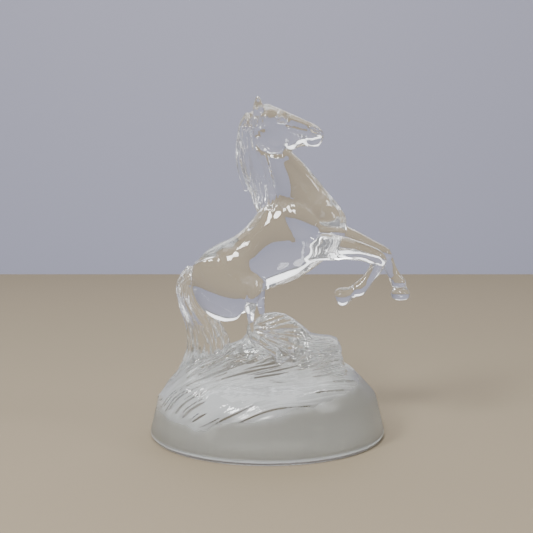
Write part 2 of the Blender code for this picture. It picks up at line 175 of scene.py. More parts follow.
# Limbs: x, y, z, half depth, half width. The near side of the horse is at -Y.
NEAR_FOREARM = [
    (15.0, -6.0, 57.0, 8.0, 4.6),
    (22.0, -8.0, 56.4, 6.9, 5.0),
    (30.0, -9.0, 56.0, 6.2, 4.8),
    (38.0, -9.2, 55.4, 5.4, 4.5),
    (45.5, -9.2, 53.8, 4.4, 4.1),
    (52.3, -9.0, 51.2, 4.0, 3.9),
    (54.8, -9.0, 48.4, 3.2, 3.2),
]
NEAR_CANNON = [
    (54.2, -9.0, 51.2, 3.6, 3.6),
    (52.6, -9.0, 46.8, 3.3, 3.2),
    (50.0, -9.0, 42.6, 2.9, 2.8),
    (47.0, -9.0, 38.8, 3.0, 2.9),
    (44.0, -9.0, 35.8, 3.6, 3.4),
    (41.4, -9.0, 34.6, 2.8, 2.8),
    (39.4, -9.0, 33.7, 3.4, 3.3),
    (37.0, -9.0, 32.6, 4.3, 4.1),
    (35.0, -9.0, 31.6, 4.4, 4.2),
    (33.7, -9.0, 31.0, 3.2, 3.0),
    (33.2, -9.0, 30.8, 1.4, 1.3),
]
FAR_FOREARM = [
    (18.0, 5.0, 62.0, 8.0, 4.6),
    (26.0, 7.4, 61.4, 6.8, 5.0),
    (34.0, 8.2, 60.4, 6.0, 4.8),
    (42.0, 8.4, 58.2, 5.2, 4.5),
    (50.0, 8.3, 54.8, 4.3, 4.0),
    (57.2, 8.1, 51.4, 3.9, 3.8),
    (59.8, 8.0, 48.6, 3.2, 3.2),
]
FAR_CANNON = [
    (57.6, 8.0, 52.6, 3.4, 3.5),
    (59.6, 8.0, 48.0, 3.3, 3.2),
    (61.6, 8.0, 43.6, 2.9, 2.8),
    (63.8, 8.0, 39.6, 3.1, 3.0),
    (65.6, 8.0, 36.4, 3.7, 3.5),
    (66.0, 8.0, 34.8, 3.2, 3.1),
    (66.2, 8.0, 33.2, 4.0, 3.8),
    (66.4, 8.0, 31.4, 4.7, 4.5),
    (66.5, 8.0, 29.8, 4.6, 4.4),
    (66.5, 8.0, 28.6, 3.4, 3.2),
    (66.5, 8.0, 28.2, 1.5, 1.4),
]
NEAR_THIGH = [
    (-28.0, -4.5, 49.5, 8.6, 5.6),
    (-25.8, -6.4, 42.0, 11.8, 6.2),
    (-22.4, -7.8, 34.5, 12.8, 6.4),
    (-18.0, -8.5, 28.8, 10.8, 6.0),
    (-14.6, -8.8, 25.8, 7.4, 4.8),
    (-12.4, -8.8, 24.2, 3.8, 2.8),
]
NEAR_GASKIN = [
    (-10.5, -6.6, 41.0, 7.5, 5.0),
    (-8.4, -8.2, 35.0, 6.0, 5.0),
    (-8.4, -8.8, 29.0, 3.7, 4.2),
    (-8.1, -8.8, 23.5, 1.9, 2.6),
    (-8.0, -8.8, 19.8, 1.4, 1.9),
    (-8.2, -8.8, 16.6, 1.7, 1.9),
    (-8.3, -8.8, 14.4, 1.8, 1.9),
]
NEAR_HIND_CANNON = [
    (-9.0, -8.8, 15.4, 1.7, 1.8),
    (-7.2, -8.8, 13.0, 2.1, 2.2),
    (-3.9, -8.8, 10.6, 2.3, 2.3),
    (-0.2, -8.9, 8.3, 2.2, 2.2),
    (2.8, -9.0, 6.5, 2.6, 2.6),
    (4.6, -9.0, 5.1, 2.4, 2.4),
    (6.1, -9.0, 3.7, 3.0, 2.9),
    (7.1, -9.0, 2.4, 3.5, 3.3),
    (7.9, -9.0, 1.4, 3.4, 3.2),
    (8.3, -9.0, 0.9, 2.3, 2.2),
]
FAR_LEG_STEP = 5.2
FAR_LEG_RISE = 1.4
FAR_LEG_TOP = 46.0
FAR_LEG_LOW = 20.0
ROOT_SHARE = 0.55

EAR_ROOT = Vector((-4.2, -3.2, 119.5))
EAR_TIP = Vector((-4.6, -3.9, 128.2))
EAR_STATIONS = [(0.0, 2.4, 1.7), (0.3, 2.6, 1.6), (0.6, 2.1, 1.3), (0.85, 1.2, 0.9), (1.0, 0.5, 0.5)]

# Muscles and features: centre, radii, turn about Y in degrees. Each has a twin on the far side.
BODY_FORMS = [
    ((16.5, -6.2, 66.0), (13.0, 5.8, 8.6), 52.0),
    ((27.5, -4.6, 68.0), (7.5, 4.8, 9.0), -25.0),
]
FACE_FORMS = [
    ((1.6, -3.6, 108.4), (7.4, 2.9, 6.6), 14.0),
    ((6.4, -4.5, 117.0), (2.9, 1.7, 1.7), 18.0),
    ((23.0, -3.0, 111.6), (2.9, 1.9, 2.1), 30.0),
    ((22.0, -1.6, 105.6), (3.4, 1.8, 1.5), 6.0),
]
FORELOCK = ((0.4, 0.0, 123.0), (3.0, 2.2, 1.5), 10.0)

# Locks of hair, which stand proud of the core of the mane and the tail. Starts, ends and stagger are shares
# of its length, and waves and flare are shares of its width.
LOCK_STAND = 1.08
MANE_LOCKS = 5
MANE_LOCK_STATIONS = 8
MANE_LOCK_START = 0.02
MANE_LOCK_END = 0.74
MANE_LOCK_STAGGER = 0.05
MANE_LOCK_FLARE = 0.16
MANE_LOCK_WAVE = 0.03
MANE_LOCK_THICKNESS = 1.6
MANE_LOCK_TIP = 0.4
MANE_LOCK_FLATNESS = 0.9
TAIL_LOCKS = 5
TAIL_LOCK_STATIONS = 9
TAIL_LOCK_START = 0.05
TAIL_LOCK_LENGTH = 0.93
TAIL_LOCK_WAVE = 0.04
TAIL_LOCK_THICKNESS = 1.2
TAIL_LOCK_SPREAD = 0.8
TAIL_LOCK_FLATNESS = 0.8

# Strands: the heights where the mane's end and start and where the tail's start, their width and their depth
MANE_SPAN = (70.0, 123.0)
TAIL_TOP = 48.0
MANE_STRAND_WIDTH = 1.9
MANE_STRAND_DEPTH = 0.85
TAIL_STRAND_WIDTH = 2.0
TAIL_STRAND_DEPTH = 0.9

# How strands run: the hair's width, how much they turn round its sides, and the width of the coarse ones
# as a number of fine ones
HAIR_WIDTH = 13.0
HAIR_WRAP = 0.85
COARSE_STRAND = 2.3

# Rock: x along the horse and height of its crest over the ledge
CREST = [
    (-58.0, -14.0), (-50.0, -9.6), (-44.0, -6.6), (-37.0, -1.6), (-30.0, 1.2), (-24.0, 4.0), (-18.0, 7.2),
    (-12.5, 9.6), (-8.5, 14.5), (-5.5, 19.6), (-1.5, 22.6), (4.0, 23.2), (8.5, 22.4), (12.5, 20.2),
    (17.5, 16.3), (21.5, 12.6), (26.0, 11.8), (31.0, 11.4), (34.5, 10.2), (36.2, 7.0), (37.0, 0.6),
    (38.6, -4.4), (43.0, -6.2), (58.0, -14.0),
]

# The wall under the crest, where it swells, how far the ledge slopes, and its share of the dome's shoulder
WALL_THICKNESS = 6.3
WALL_SQUARENESS = 3.2
BLOCK_SWELL = 6.5
BLOCK_START = (12.0, 22.0)
TAIL_SWELL = 6.0
TAIL_START = (-10.0, -20.0)
LEDGE_REACH = (8.0, 29.0)
ROCK_FOOT = 0.9

# Carved streaks: how they run over the dome, where they fan out from, and what is left plain below them
STREAK_RISE = 0.36
STREAK_FALL = 0.42
STREAK_BEND_AHEAD = 0.004
STREAK_BEND_BEHIND = 0.008
STREAK_BEND_START = -15.0
STREAK_WARP = 3.4
WARP_SCALE = (0.04, 0.07, 0.07)
FAN_X = -13.0
FAN_HEIGHT = 52.0
FAN_STREAKS = 22.0
FAN_WARP = 0.6
PLAIN_HEIGHT = 19.0
PLAIN_RISE = 0.2
PLAIN_TURN = -30.0
PLAIN_RISE_BEHIND = 0.15
STREAK_DEPTH = 1.3
STREAK_SINK = 0.6
STREAK_ROUNDNESS = 0.8
WALL_CALM = 0.65
FAN_START_HIGH = (40.5, 45.0)
FAN_START_AHEAD = (-13.0, -7.0)

# How the carving ends: over the plain wall, short of the horse, short of its legs, and far out on the dome
CARVING_EDGE = 3.4
HORSE_CLEAR = (3.2, 1.6)
LEG_CLEAR = (0.2, 1.4)
LOWEST_ROCK = 16.0

# Relief over the solid's streaks: turns for each streak of the solid, and depth in units
BROAD_SHARE = 0.3
MIDDLING_TURNS = 1.55
MIDDLING_DEPTH = 0.9
FINE_TURNS = 3.2
FINE_DEPTH = 0.7
FAN_TURNS = 1.1
FAN_DEPTH = 0.8
FINE_FAN_TURNS = 2.2
FINE_FAN_DEPTH = 0.4
LOW_STREAK_FLOOR = 0.4
LOW_STREAK_TOP = (24.0, 34.0)

# Smooth strip along the near edge of the dome's top: middle, ends, and its outer and inner edge
STRIP_MIDDLE = -7.0
STRIP_ENDS = (25.0, 18.0)
STRIP_OUTER = (-51.0, -47.5)
STRIP_INNER = (-36.0, -39.5)
STRIP_SLANT = 0.06
STRIP_SMOOTHNESS = 0.9

# Frost of the wall, which also places its painted shade, in units: where it starts and is full, over the plain
# height, and how its edge wavers
FROST_FADE = (7.5, -2.0)
FROST_WAVER = 1.6
LIP_FADE = 1.0

# Materials: the three finishes in the order of the piece's slots, and how far down the ground faces look
CLEAR, FROSTED, GROUND = range(3)
GROUND_FACING = -0.9
GLASS_IOR = 1.52


def placed(x, y, z):
    """A station of the horse in metres above the table."""
    return Vector((x * UNIT, y * UNIT, LEDGE_HEIGHT + z * UNIT))


def ramp(low, high, values):
    """0 at low, 1 at high, and eased between them; low may be the larger number."""
    t = np.clip((values - low) / (high - low), 0.0, 1.0)
    return t * t * (3 - 2 * t)


def eased(stations, steps):
    """Stations joined by a smooth curve through them, as many numbers wide as they are."""
    ends = [stations[0], *stations, stations[-1]]
    found = []
    for before, start, stop, after in zip(ends, ends[1:], ends[2:], ends[3:]):
        for step in range(steps):
            t = step / steps
            found.append(tuple(
                0.5 * (2 * b + (c - a) * t + (2 * a - 5 * b + 4 * c - d) * t * t
                       + (3 * b - a - 3 * c + d) * t ** 3)
                for a, b, c, d in zip(before, start, stop, after)
            ))
    found.append(tuple(stations[-1]))
    return found


def add_ring(mesh, centre, out, up):
    """One oval section: out and up are its half axes."""
    turns = (2 * math.pi * i / RING_SIDES for i in range(RING_SIDES))
    return [mesh.verts.new(centre + out * math.cos(a) + up * math.sin(a)) for a in turns]


def skin(mesh, rings):
    """A closed shell over a row of sections."""
    for low, high in zip(rings, rings[1:]):
        for i in range(RING_SIDES):
            j = (i + 1) % RING_SIDES
            mesh.faces.new((low[i], low[j], high[j], high[i]))
    mesh.faces.new(reversed(rings[0]))
    mesh.faces.new(rings[-1])


def add_flank_loft(mesh, stations):
    """A form on the horse's middle plane, from pairs of outline points and half widths."""
    rings = []
    for x1, z1, x2, z2, half in eased(stations, STATION_STEPS):
        top, bottom = placed(x1, 0, z1), placed(x2, 0, z2)
        rings.append(add_ring(mesh, (top + bottom) / 2, Vector((0, half * UNIT, 0)), (top - bottom) / 2))
    skin(mesh, rings)


def add_limb(mesh, stations, steps=STATION_STEPS):
    """A limb or a lock: sections square to its run."""
    route = eased(stations, steps)
    points = [placed(*s[:3]) for s in route]
    rings = []
    for i, station in enumerate(route):
        along = (points[min(i + 1, len(points) - 1)] - points[max(i - 1, 0)]).normalized()
        side = (Vector((0, 1, 0)) - along * along.y).normalized()
        depth = side.cross(along)
        rings.append(add_ring(mesh, points[i], side * station[4] * UNIT, depth * station[3] * UNIT))
    skin(mesh, rings)


def add_form(mesh, centre, radii, turn):
    """An oval muscle or feature, turned in the horse's middle plane."""
    spot = Matrix.Translation(placed(*centre)) @ Matrix.Rotation(math.radians(turn), 4, "Y")
    size = Matrix.Diagonal((*(r * UNIT for r in radii), 1))
    matrix = spot @ size
    bmesh.ops.create_uvsphere(mesh, u_segments=FORM_SEGMENTS, v_segments=FORM_RINGS, radius=1, matrix=matrix)


def add_twins(mesh, forms):
    """Muscles or features, each with its twin on the far side."""
    for (x, y, z), radii, turn in forms:
        add_form(mesh, (x, y, z), radii, turn)
        add_form(mesh, (x, -y, z), radii, turn)


def sunk(stations):
    """A limb whose first station is slim, so that it grows out of the flesh around it without a step."""
    x, y, z, depth, half = stations[0]
    return [(x, y, z, depth * ROOT_SHARE, half * ROOT_SHARE), *stations[1:]]


def far_hind(stations):
    """The far hind leg stands a step ahead of the near one, from the same hip."""
    found = []
    for x, y, z, depth, half in stations:
        share = ramp(FAR_LEG_TOP, FAR_LEG_LOW, z)
        found.append((x + FAR_LEG_STEP * share, -y, z + FAR_LEG_RISE * share, depth, half))
    return found


def add_ear(mesh, side):
    """One ear: side is 1 for the near one and -1 for the far one."""
    run = EAR_TIP - EAR_ROOT
    stations = []
    for share, depth, half in EAR_STATIONS:
        x, y, z = EAR_ROOT + run * share
        stations.append((x, y * side, z, depth, half))
    add_limb(mesh, stations, LOCK_STEPS)


def lock_spot(table, t, across, side):
    """Place on the skin of the mane or the tail: t runs from its root to its end."""
    route = eased(table, HAIR_STEPS)
    x1, z1, x2, z2, half = route[round(min(max(t, 0.0), 1.0) * (len(route) - 1))]
    bulge = math.sin(math.pi * min(max(across, 0.0), 0.5))
    return x1 + (x2 - x1) * across, side * half * bulge, z1 + (z2 - z1) * across


def add_mane_locks(mesh):
    """Long locks down both sides of the mane, whose outer ends stand clear of its edge."""
    for i in range(MANE_LOCKS):
        start = MANE_LOCK_START + MANE_LOCK_STAGGER * (i % 3)
        end = MANE_LOCK_END + MANE_LOCK_STAGGER * i
        for side in (-1, 1):
            stations = []
            for j in range(MANE_LOCK_STATIONS):
                share = j / (MANE_LOCK_STATIONS - 1)
                t = start + (end - start) * share
                across = 0.98 * (i + 0.35) / MANE_LOCKS - MANE_LOCK_FLARE * share ** 2
                across += MANE_LOCK_WAVE * math.sin(7 * t + 2.4 * i + side)
                thick = MANE_LOCK_THICKNESS * math.sin(math.pi * (0.14 + 0.8 * share)) + MANE_LOCK_TIP
                spot = lock_spot(MANE, t, across, side * LOCK_STAND)
                stations.append((*spot, thick, thick * MANE_LOCK_FLATNESS))
            add_limb(mesh, stations, LOCK_STEPS)


def add_tail_locks(mesh):
    """Locks that fan from the dock to the rock over the outside of the tail."""
    for i in range(TAIL_LOCKS):
        for side in (-1, 1):
            stations = []
            for j in range(TAIL_LOCK_STATIONS):
                share = j / (TAIL_LOCK_STATIONS - 1)
                t = TAIL_LOCK_START + TAIL_LOCK_LENGTH * share
                across = i / (TAIL_LOCKS - 1) + TAIL_LOCK_WAVE * math.sin(5 * t + 2.1 * i + side)
                thick = TAIL_LOCK_THICKNESS + TAIL_LOCK_SPREAD * share
                x, y, z = lock_spot(TAIL, t, across, side * LOCK_STAND)
                # the inner locks lie closer to the middle of the tail
                y *= 1 - max(across - 0.5, 0.0) * 1.5
                stations.append((x, y, z, thick, thick * TAIL_LOCK_FLATNESS))
            add_limb(mesh, stations, LOCK_STEPS)


def rock_top(x, y):
    """Height over the ledge of the uncarved rock, in units: a sloping ledge and a wall along its crest."""
    crest = np.interp(x, *np.array(CREST).T)
    foot = -LEDGE_RISE / UNIT
    ledge = np.minimum(crest, 0.0)
    slope = foot + (ledge - foot) * (1 - ramp(*LEDGE_REACH, np.abs(y)))
    thick = WALL_THICKNESS + BLOCK_SWELL * ramp(*BLOCK_START, x) + TAIL_SWELL * ramp(*TAIL_START, x)
    wall = np.exp(-((np.abs(y) / thick) ** WALL_SQUARENESS))
    return slope + np.maximum(crest - ledge, 0.0) * wall


def dome_profile():
    """Points (r, z) of the plain dome from its middle to its foot, in metres."""
    lean = math.tan(WALL_LEAN)
    low = LIP_HEIGHT
    turn_z = DOME_HEIGHT - SHOULDER_RADIUS * (1 - math.sin(WALL_LEAN))
    turn_r = BASE_RADIUS - (turn_z - low) * lean
    middle = turn_r - SHOULDER_RADIUS * math.cos(WALL_LEAN)
    flat = [(middle * i / TOP_RINGS, DOME_HEIGHT) for i in range(1, TOP_RINGS)]
    arc = []
    for i in range(SHOULDER_RINGS + 1):
        a = math.pi / 2 - (math.pi / 2 - WALL_LEAN) * i / SHOULDER_RINGS
        sink = SHOULDER_RADIUS * (1 - math.sin(a))
        arc.append((middle + SHOULDER_RADIUS * math.cos(a), DOME_HEIGHT - sink))
    wall = []
    for i in range(1, WALL_RINGS + 1):
        out = (BASE_RADIUS - turn_r) * i / WALL_RINGS
        wall.append((turn_r + out, turn_z + (low - turn_z) * i / WALL_RINGS))
    foot = [(BASE_RADIUS - LIP_INSET, 0.0), (BASE_RADIUS - LIP_INSET, -GRIND_DEPTH)]
    return flat + arc + wall + foot


def base_point(r, z, angle):
    """A point of the base: the plain dome, raised to the rock."""
    x, y = r * math.cos(angle), r * math.sin(angle)
    share = ramp(DOME_HEIGHT - SHOULDER_RADIUS * ROCK_FOOT, DOME_HEIGHT, z)
    rise = (rock_top(x / UNIT, y / UNIT) * UNIT + LEDGE_RISE) * share
    drop = DOME_HEIGHT - z
    return Vector((x, y, DOME_HEIGHT + rise - drop))


def add_base(mesh):
    """The dome and its rock, as one turned shell."""
    rows = []
    for r, z in dome_profile():
        turns = (2 * math.pi * k / BASE_SPOKES for k in range(BASE_SPOKES))
        rows.append([mesh.verts.new(base_point(r, z, a)) for a in turns])
    top = mesh.verts.new(base_point(1e-6, DOME_HEIGHT, 0.0))
    foot = mesh.verts.new((0, 0, -GRIND_DEPTH))
    for k in range(BASE_SPOKES):
        j = (k + 1) % BASE_SPOKES
        mesh.faces.new((top, rows[0][k], rows[0][j]))
        mesh.faces.new((foot, rows[-1][j], rows[-1][k]))
        for inner, outer in zip(rows, rows[1:]):
            mesh.faces.new((inner[k], outer[k], outer[j], inner[j]))


def add_flesh(mesh):
    """The body, whose forms run softly into one another."""
    for stations in (TRUNK, NECK, HEAD):
        add_flank_loft(mesh, stations)
    for stations in (NEAR_THIGH, NEAR_GASKIN):
        add_limb(mesh, stations)
        add_limb(mesh, far_hind(stations))
    for stations in (NEAR_FOREARM, FAR_FOREARM):
        add_limb(mesh, stations)
    add_twins(mesh, BODY_FORMS + FACE_FORMS)


def add_fine_forms(mesh):
    """The parts that keep their full thickness and their edges."""
    for stations in (sunk(NEAR_FOREARM[1:]), NEAR_CANNON, sunk(FAR_FOREARM[1:]), FAR_CANNON):
        add_limb(mesh, stations)
    for stations in (sunk(NEAR_GASKIN[2:]), NEAR_HIND_CANNON):
        add_limb(mesh, stations)
        add_limb(mesh, far_hind(stations))
    for stations in (HEAD, MANE, TAIL):
        add_flank_loft(mesh, stations)
    add_twins(mesh, FACE_FORMS)
    for side in (1, -1):
        add_ear(mesh, side)
    add_form(mesh, *FORELOCK)
    add_mane_locks(mesh)
    add_tail_locks(mesh)
    add_base(mesh)


def fused(name, mesh, grain, softening):
    """The skin of overlapping shells, fused and softened, as a new mesh."""
    bmesh.ops.recalc_face_normals(mesh, faces=mesh.faces)
    data = bpy.data.meshes.new(name)
    mesh.to_mesh(data)
    mesh.free()
    thing = bpy.data.objects.new(name, data)
    bpy.context.scene.collection.objects.link(thing)
    fuse = thing.modifiers.new("fuse", "REMESH")
    fuse.mode = "VOXEL"
    fuse.voxel_size = grain
    soften = thing.modifiers.new("soften", "SMOOTH")
    soften.factor = 0.5
    soften.iterations = softening
    graph = bpy.context.evaluated_depsgraph_get()
    skin_data = bpy.data.meshes.new_from_object(thing.evaluated_get(graph))
    bpy.data.objects.remove(thing, do_unlink=True)
    return skin_data


def read_rows(items, key, width, kind=np.float32):
    """One attribute of all the items of a mesh, as an array with a row for each."""
    values = np.empty(len(items) * width, kind)
    items.foreach_get(key, values)
    return values.reshape(-1, width)


def ripples(spots, length, seed, waves=7):
    """Smooth noise of about -1 to 1 whose bumps are about length units long."""
    rng = np.random.default_rng(seed)
    total = np.zeros(len(spots))
    for _ in range(waves):
        way = rng.normal(size=3)
        way *= rng.uniform(0.7, 1.5) * 2 * math.pi / (length * np.linalg.norm(way))
        total += np.sin(spots @ way + rng.uniform(0, 2 * math.pi))
    return total / math.sqrt(waves)


def relax(spots, edges, weight, steps):
    """Evens out the skin without shrinking it, as far as each point's weight says."""
    count = np.bincount(edges.ravel(), minlength=len(spots))
    for step in range(steps):
        pull = PULL_IN if step % 2 == 0 else PULL_OUT
        total = np.zeros_like(spots)
        for axis in range(3):
            near = np.bincount(edges[:, 0], spots[edges[:, 1], axis], len(spots))
            near += np.bincount(edges[:, 1], spots[edges[:, 0], axis], len(spots))
            total[:, axis] = near / count
        spots = spots + (pull * weight)[:, None] * (total - spots)
    return spots


def ridges(phase):
    """Rounded ridges with narrow valleys between them, from about 0.2 to 1, one for each half turn."""
    return np.sqrt(np.sin(phase) ** 2 + 0.04)


def route_distance(spots, route):
    """Distance from each point to a route, both seen from the side."""
    best = np.full(len(spots), 1e9)
    flat = spots[:, [0, 2]]
    for start, stop in zip(route, route[1:]):
        start, stop = np.array(start), np.array(stop)
        run = stop - start
        t = np.clip((flat - start) @ run / (run @ run), 0.0, 1.0)
        best = np.minimum(best, np.linalg.norm(flat - start - t[:, None] * run, axis=1))
    return best


def mesh_normals(data):
    """The normal of the skin at each of its points."""
    return read_rows(data.vertex_normals, "vector", 3).astype(float)


# Strokes of the modelling tool, seen from the side: route, width, lift (negative cuts), least and most |y|,
# and which side they are on: -1 near, 1 far, 0 both
STROKES = [
    # eye: socket, lids, ball and brow
    ([(5.2, 115.4), (8.4, 116.4)], 2.0, -0.45, 2.0, 9.0, 0),
    ([(6.0, 116.1), (7.4, 116.3)], 0.75, 0.75, 2.0, 9.0, 0),
    ([(4.4, 116.2), (5.6, 117.5), (7.2, 117.9), (8.8, 116.8)], 0.5, 0.42, 2.0, 9.0, 0),
    ([(4.6, 115.4), (6.2, 114.6), (8.0, 115.0), (8.9, 116.2)], 0.45, 0.3, 2.0, 9.0, 0),
    # nostril, mouth, chin and cheek
    ([(22.6, 112.6), (24.0, 112.5), (24.7, 111.5)], 0.65, -1.0, 1.0, 9.0, 0),
    ([(21.8, 113.5), (24.2, 113.7), (25.6, 112.2), (25.2, 110.8)], 0.7, 0.4, 1.0, 9.0, 0),
    ([(27.4, 108.6), (24.6, 107.9), (21.6, 107.2), (19.2, 107.4)], 0.5, -0.4, 0.0, 9.0, 0),
    ([(26.0, 106.4), (23.0, 105.6)], 0.9, 0.2, 0.0, 9.0, 0),
    ([(18.6, 104.4), (17.0, 106.2)], 1.3, -0.2, 0.5, 9.0, 0),
    ([(10.8, 113.8), (11.4, 109.4), (10.2, 105.4), (7.6, 102.6)], 1.1, -0.45, 1.5, 9.0, 0),
    ([(9.6, 112.6), (14.0, 111.4), (18.5, 110.6)], 0.8, 0.4, 1.5, 9.0, 0),
    ([(-5.5, 105.5), (-2.0, 101.6), (2.5, 100.2), (6.5, 100.4)], 1.2, -0.7, 2.0, 9.0, 0),
    ([(-4.0, 107.5), (-1.0, 104.2), (3.5, 102.8), (8.5, 103.8), (12.0, 106.0)], 1.2, 0.5, 1.5, 9.0, 0),
    # short locks about the root of the ear
    ([(-10.4, 112.5), (-9.4, 118.8)], 0.75, 0.8, 1.0, 9.0, 0),
    ([(-8.0, 112.8), (-6.9, 119.2)], 0.75, 0.9, 1.0, 9.0, 0),
    ([(-5.4, 113.2), (-4.6, 118.6)], 0.75, 0.9, 1.0, 9.0, 0),
    ([(-2.8, 113.8), (-2.3, 118.8)], 0.75, 0.8, 1.0, 9.0, 0),
    ([(-0.6, 115.6), (-0.6, 119.6)], 0.7, 0.6, 1.0, 9.0, 0),
    ([(11.0, 117.4), (17.0, 115.2), (21.0, 113.8)], 0.9, 0.25, 0.5, 9.0, 0),
    # hollow of the ear
    ([(-3.8, 120.8), (-4.3, 123.2), (-4.5, 125.4)], 0.9, -0.8, 3.6, 9.0, 0),
    # throat, neck and shoulder
    ([(-1.5, 113.5), (1.0, 106.0), (3.5, 101.5)], 1.3, -0.5, 2.5, 12.0, 0),
    ([(9.5, 97.0), (17.0, 87.0), (24.0, 78.5)], 2.6, -0.45, 3.0, 12.0, 0),
    ([(5.0, 98.0), (9.0, 88.0), (12.5, 80.0)], 3.0, 0.4, 3.0, 12.0, 0),
    ([(4.0, 78.0), (9.0, 67.0), (13.5, 60.5)], 3.6, -0.35, 6.0, 18.0, 0),
    ([(13.5, 70.5), (20.5, 61.5)], 4.4, 0.3, 6.0, 18.0, 0),
    # flank
    ([(-16.5, 54.5), (-9.5, 47.0), (-5.0, 40.0)], 3.4, -0.4, 6.0, 18.0, 0),
    # joints and tendons of the near legs
    ([(30.0, 52.5), (39.0, 51.8), (47.0, 49.8)], 0.9, -0.4, 9.0, 18.0, -1),
    ([(53.8, 47.6), (50.6, 43.0), (47.2, 39.0)], 0.9, -0.4, 8.4, 18.0, -1),
    ([(53.6, 52.8), (54.6, 50.2)], 1.2, 0.45, 9.0, 18.0, -1),
    ([(41.6, 36.6), (40.2, 31.2)], 0.9, -0.35, 3.0, 18.0, -1),
    ([(-8.6, 14.8), (-4.6, 10.9), (0.2, 8.0)], 0.8, -0.45, 8.4, 18.0, -1),
    ([(4.0, 6.8), (6.4, 4.4)], 0.8, -0.3, 5.0, 18.0, -1),
    ([(-7.6, 20.8), (-8.2, 17.4)], 0.8, -0.35, 8.5, 18.0, -1),
    # joints and tendons of the far legs
    ([(34.0, 56.5), (43.0, 55.0), (51.0, 52.0)], 0.9, -0.4, 8.0, 18.0, 1),
    ([(59.4, 48.6), (61.2, 44.0), (63.2, 40.0)], 0.9, -0.4, 7.6, 18.0, 1),
    ([(58.2, 53.4), (60.0, 50.4)], 1.2, 0.45, 7.6, 18.0, 1),
    ([(62.6, 34.6), (69.6, 34.2)], 0.9, -0.35, 3.0, 18.0, 1),
    ([(-4.2, 16.0), (-0.4, 12.1), (4.2, 9.2)], 0.8, -0.45, 8.0, 18.0, 1),
]


def cut_strokes(spots, normals):
    """Works the strokes into the skin, most where it faces the side."""
    facing = ramp(0.1, 0.6, np.abs(normals[:, 1]))
    away = np.abs(spots[:, 1])
    for route, width, lift, least, most, side in STROKES:
        reach = facing * ramp(least - 0.8, least, away) * ramp(most, most - 1.0, away)
        if side:
            reach = reach * (spots[:, 1] * side > 0)
        weight = np.exp(-((route_distance(spots, route) / width) ** 2)) * reach
        spots = spots + normals * (lift * weight)[:, None]
    return spots


def hair_place(spots, table):
    """Where points lie on the mane or the tail: shares along and across it, and its half width there."""
    route = np.array(eased(table, HAIR_STEPS))
    middle = (route[:, 1] + route[:, 3]) / 2
    t = np.interp(-spots[:, 2], -middle, np.linspace(0.0, 1.0, len(route)))
    share = np.linspace(0.0, 1.0, len(route))
    outer, inner, half = (np.interp(t, share, route[:, k]) for k in (0, 2, 4))
    return t, (spots[:, 0] - outer) / (inner - outer), half


def comb(spots, normals, table, seed, reach, pitch, depth):
    """Cuts coarse and fine strands that follow the locks; the fine ones are pitch units wide."""
    t, across, _ = hair_place(spots, table)
    wander = 0.9 * np.sin(7.0 * t + 0.6 * seed) + 0.5 * np.sin(13.0 * t + 1.3 * seed)
    drift = ripples(spots * (0.5, 0.5, 0.12), 9.0, seed) * 1.1
    run = across * HAIR_WIDTH + HAIR_WRAP * np.abs(spots[:, 1]) + wander + drift
    coarse = ridges(math.pi * run / (pitch * COARSE_STRAND))
    fine = ridges(math.pi * run / pitch + 0.5 * drift)
    strand = 0.55 * coarse + 0.45 * fine - 0.65
    return spots + normals * (depth * strand * reach * near_share(spots))[:, None]


def near_share(spots):
    """Fine relief is full on the near side and shallower on the far one, as the maker finished it."""
    return 1 - (1 - FAR_SIDE_RELIEF) * ramp(*FAR_SIDE_START, spots[:, 1])


def mane_reach(spots):
    """Share of the strands of the mane at each point."""
    low, high = MANE_SPAN
    t, across, _ = hair_place(spots, MANE)
    inside = ramp(-0.35, -0.1, across) * ramp(1.12, 0.9, across)
    return inside * ramp(0.0, 0.06, t) * ramp(1.0, 0.93, t) * (spots[:, 2] > low) * (spots[:, 2] < high)


def tail_reach(spots):
    """Share of the strands of the tail at each point."""
    _, across, half = hair_place(spots, TAIL)
    inside = ramp(-0.4, -0.15, across) * ramp(1.3, 1.1, across)
    slim = ramp(half + 4.2, half + 2.4, np.abs(spots[:, 1]))
    over_rock = ramp(-11.0, -8.0, spots[:, 2])
    behind_legs = ramp(-14.0, -18.0, spots[:, 0])
    return inside * slim * (spots[:, 2] < TAIL_TOP) * over_rock * behind_legs


def table_height(spots):
    """Height over the table, in units."""
    return spots[:, 2] + LEDGE_HEIGHT / UNIT


def carved_floor(x):
    """Height above the table, in units, down to which the wall of the dome is carved."""
    ahead = PLAIN_RISE * np.maximum(x, PLAIN_TURN)
    return PLAIN_HEIGHT + ahead + PLAIN_RISE_BEHIND * np.maximum(PLAIN_TURN - x, 0.0)


def smooth_strip(spots):
    """Share of the strip along the near edge of the dome's top that is left smooth."""
    x, y = spots[:, 0], spots[:, 1] + STRIP_SLANT * spots[:, 0]
    return ramp(*STRIP_ENDS, np.abs(x - STRIP_MIDDLE)) * ramp(*STRIP_OUTER, y) * ramp(*STRIP_INNER, y)


def rock_reach(spots):
    """Share of the rock's streaks: full on the rock, none on the horse and on the plain wall of the dome."""
    x, y, high = spots[:, 0], spots[:, 1], table_height(spots)
    carved = ramp(0.0, CARVING_EDGE, high - carved_floor(x))
    top = np.maximum(rock_top(x, y), -LEDGE_RISE / UNIT - LOWEST_ROCK)
    below = ramp(*HORSE_CLEAR, spots[:, 2] - top)
    leg = np.full(len(spots), 1e9)
    for stations in (NEAR_HIND_CANNON, far_hind(NEAR_HIND_CANNON)):
        for station in eased(stations, STATION_STEPS):
            gap = np.linalg.norm(spots - np.array(station[:3]), axis=1) - station[3]
            leg = np.minimum(leg, gap)
    return carved * below * ramp(*LEG_CLEAR, leg) * (1 - STRIP_SMOOTHNESS * smooth_strip(spots))


